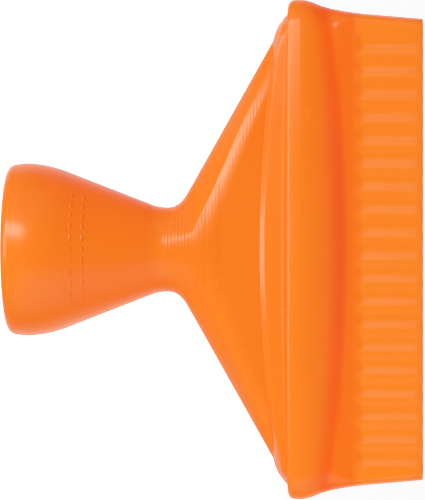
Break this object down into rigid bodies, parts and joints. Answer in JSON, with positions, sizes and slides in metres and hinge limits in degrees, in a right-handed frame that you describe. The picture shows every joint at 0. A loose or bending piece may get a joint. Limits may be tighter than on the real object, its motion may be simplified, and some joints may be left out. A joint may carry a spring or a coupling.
{
  "type": "fan nozzle for ball-and-socket hose",
  "caption": "Flat fan nozzle for modular ball-and-socket coolant or air hose: round socket, narrow neck, flaring fan body and a push-fit comb head with a row of round outlets.",
  "frame": {"origin": "centre of the socket's rim, on the axis of the flow; the nozzle stands on this rim", "axes": "+Z is the way the fluid flows, from the socket to the row of outlets; X is the width of the fan; Y is its thickness"},
  "size_m": [0.0694, 0.0242, 0.0577],
  "materials": {
    "orange_acetal": "soft gloss, as moulded"
  },
  "bodies": {
    "root": {"fan_body": "orange_acetal", "comb_head": "orange_acetal"}
  },
  "joints": []
}
